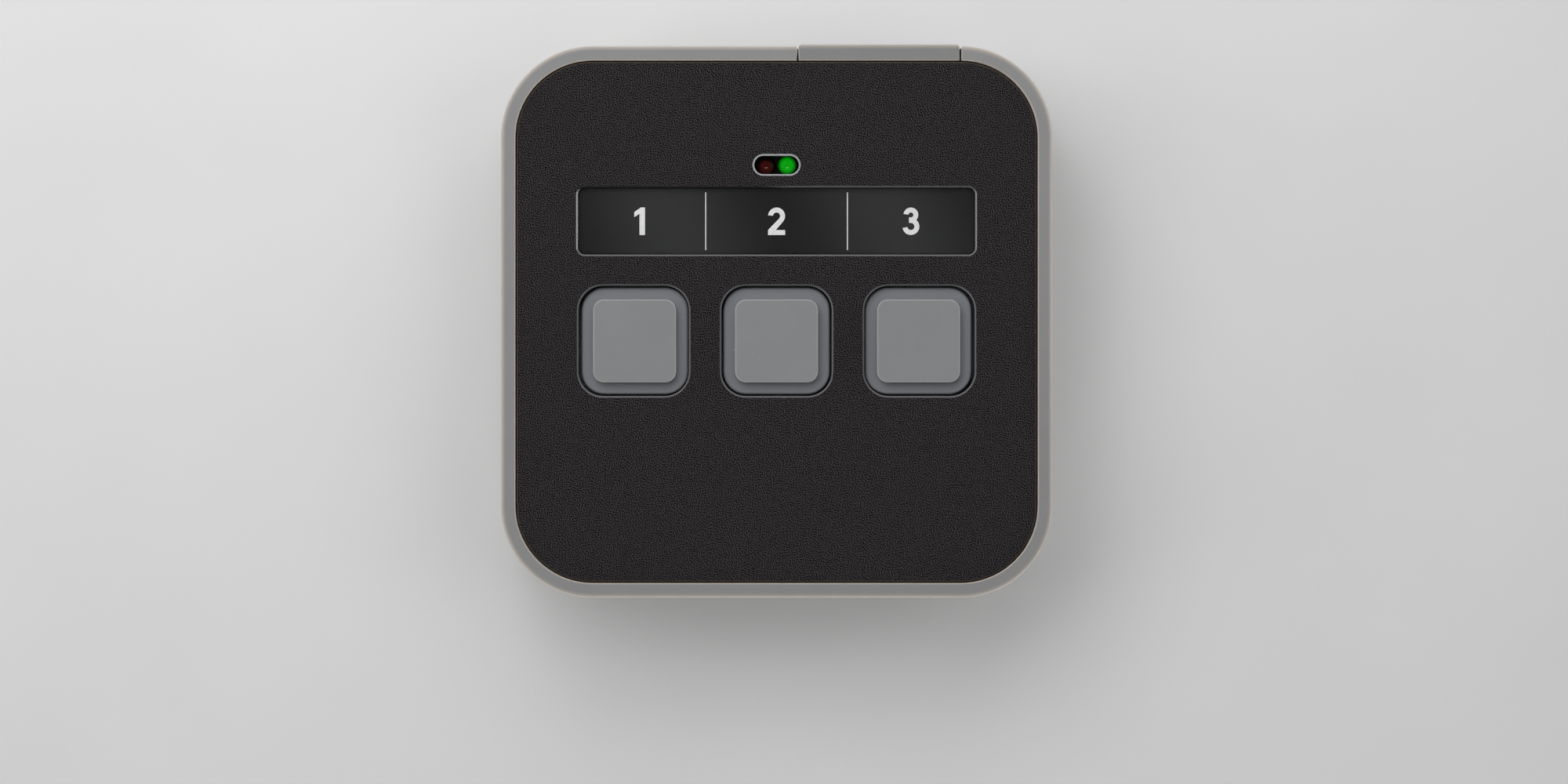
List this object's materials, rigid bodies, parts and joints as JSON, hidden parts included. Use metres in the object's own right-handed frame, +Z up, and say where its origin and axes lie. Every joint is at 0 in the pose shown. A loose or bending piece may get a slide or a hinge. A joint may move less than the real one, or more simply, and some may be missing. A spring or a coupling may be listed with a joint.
{
  "type": "queue call remote",
  "caption": "Square counter remote with a soft grey rim, sprung square keys under a label strip, status lamps and a pull-off battery door; a key calls the next customer.",
  "frame": {"origin": "on the counter, under the middle of the square body", "axes": "+Z up out of the keys, +X right and +Y to the edge with the battery door"},
  "size_m": [0.084, 0.0842, 0.0226],
  "materials": {
    "black_plastic": "matte",
    "soft_rim": "matte",
    "key_silicone": "matte",
    "contact_metal": "satin",
    "cell_sleeve": "satin",
    "board_laminate": "satin",
    "copper": "satin",
    "can_metal": "satin",
    "chip_plastic": "matte",
    "red_lens": "gloss",
    "green_lens": "gloss",
    "bezel_plastic": "satin",
    "clear_window": "gloss",
    "label_print": "satin",
    "pill_rubber": "matte",
    "screw_steel": "satin",
    "foot_rubber": "matte"
  },
  "bodies": {
    "housing": {"front_shell": "black_plastic", "rear_shell": "black_plastic", "bumper_ring": "soft_rim", "aaa_cell_left": "cell_sleeve", "aaa_cell_right": "cell_sleeve", "plate_terminal": "contact_metal", "spring_terminal": "contact_metal", "terminal_spring": "contact_metal", "circuit_board": "board_laminate", "contact_pads": "copper", "antenna_trace": "copper", "radio_module": "can_metal", "controller_chip": "chip_plastic", "crystal": "can_metal", "red_lamp": "red_lens", "green_lamp": "green_lens", "lamp_bezel": "bezel_plastic", "label_window": "clear_window", "label_card": "label_print", "keypad_mat": "key_silicone", "key_skirt_left": "key_silicone", "key_skirt_middle": "key_silicone", "key_skirt_right": "key_silicone", "housing_screws": "screw_steel", "board_screws": "screw_steel", "rubber_feet": "foot_rubber"},
    "key_left_body": {"key_left": "key_silicone", "contact_pill_left": "pill_rubber"},
    "key_middle_body": {"key_middle": "key_silicone", "contact_pill_middle": "pill_rubber"},
    "key_right_body": {"key_right": "key_silicone", "contact_pill_right": "pill_rubber"},
    "door_body": {"battery_door": "soft_rim", "door_contact": "contact_metal", "door_spring": "contact_metal"}
  },
  "joints": [
    {"name": "key_left_press", "type": "slide", "parent": "housing", "child": "key_left_body", "axis": [0, 0, -1], "range_m": [0, 0.001], "stiffness_N_per_m": 600, "springref_m": -0.001, "deforming": ["key_skirt_left"]},
    {"name": "key_middle_press", "type": "slide", "parent": "housing", "child": "key_middle_body", "axis": [0, 0, -1], "range_m": [0, 0.001], "stiffness_N_per_m": 600, "springref_m": -0.001, "deforming": ["key_skirt_middle"]},
    {"name": "key_right_press", "type": "slide", "parent": "housing", "child": "key_right_body", "axis": [0, 0, -1], "range_m": [0, 0.001], "stiffness_N_per_m": 600, "springref_m": -0.001, "deforming": ["key_skirt_right"]},
    {"name": "door_slide", "type": "slide", "parent": "housing", "child": "door_body", "axis": [0, 1, 0], "range_m": [0, 0.012]}
  ]
}
